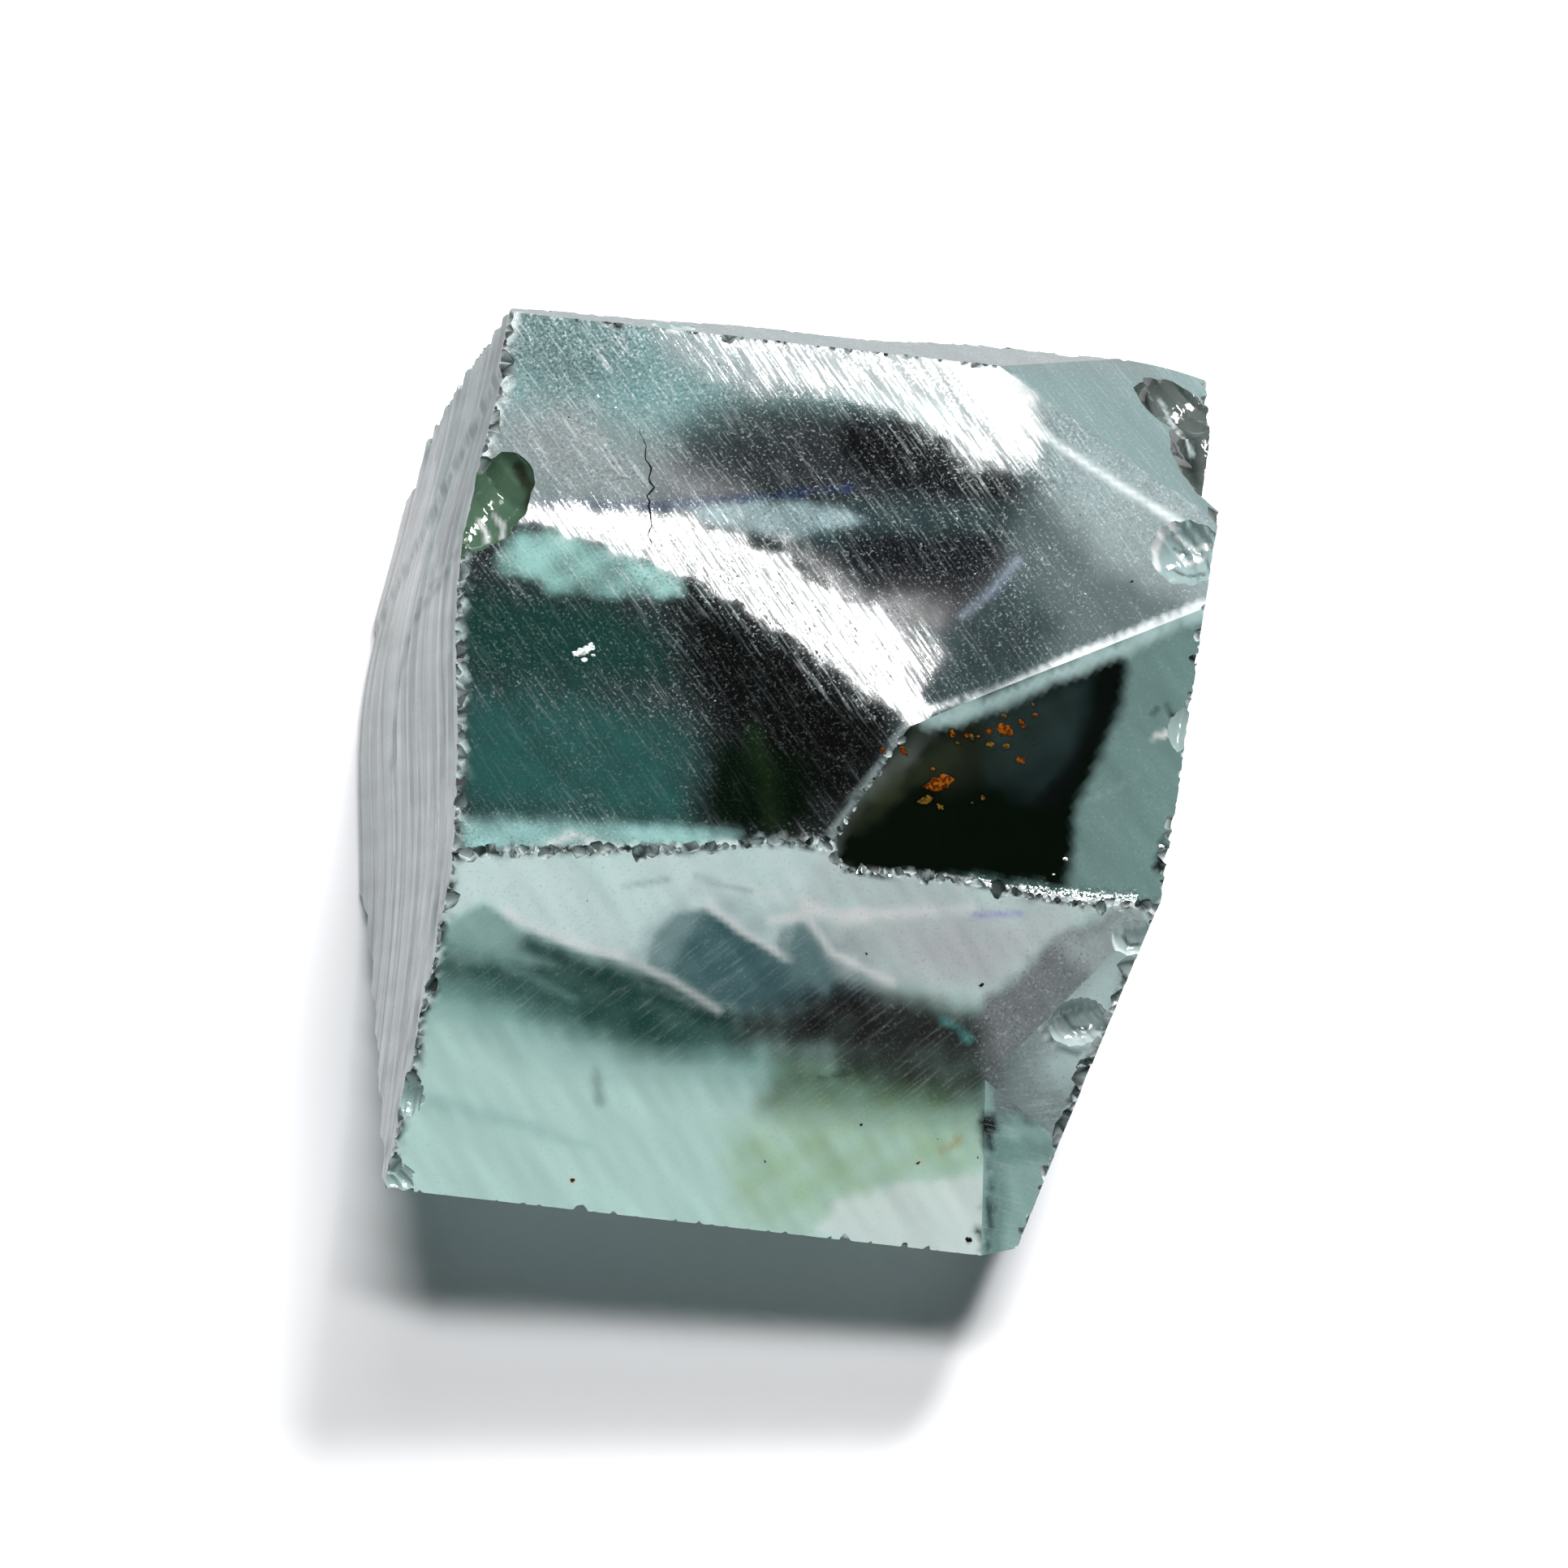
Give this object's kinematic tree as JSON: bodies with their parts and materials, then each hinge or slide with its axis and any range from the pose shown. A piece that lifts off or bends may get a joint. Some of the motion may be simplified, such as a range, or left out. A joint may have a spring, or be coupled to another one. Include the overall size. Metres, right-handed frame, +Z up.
{
  "type": "raw aquamarine crystal",
  "caption": "Broken block of a raw blue-green beryl crystal lying on its side, with two striated prism faces, satin and glassy breaks and chipped edges.",
  "frame": {"origin": "under the centre of the stone's box, on its base", "axes": "+Y along the crystal's long axis, from the sloping front to the back; +Z up, across the stone's least thickness; +X to the right"},
  "size_m": [0.027, 0.0316, 0.0135],
  "materials": {
    "aquamarine": "clear blue-green crystal, satin and frosted on its broken and grown faces, glassy in its hollows and chips"
  },
  "bodies": {
    "root": {"aquamarine_crystal": "aquamarine"}
  },
  "joints": []
}
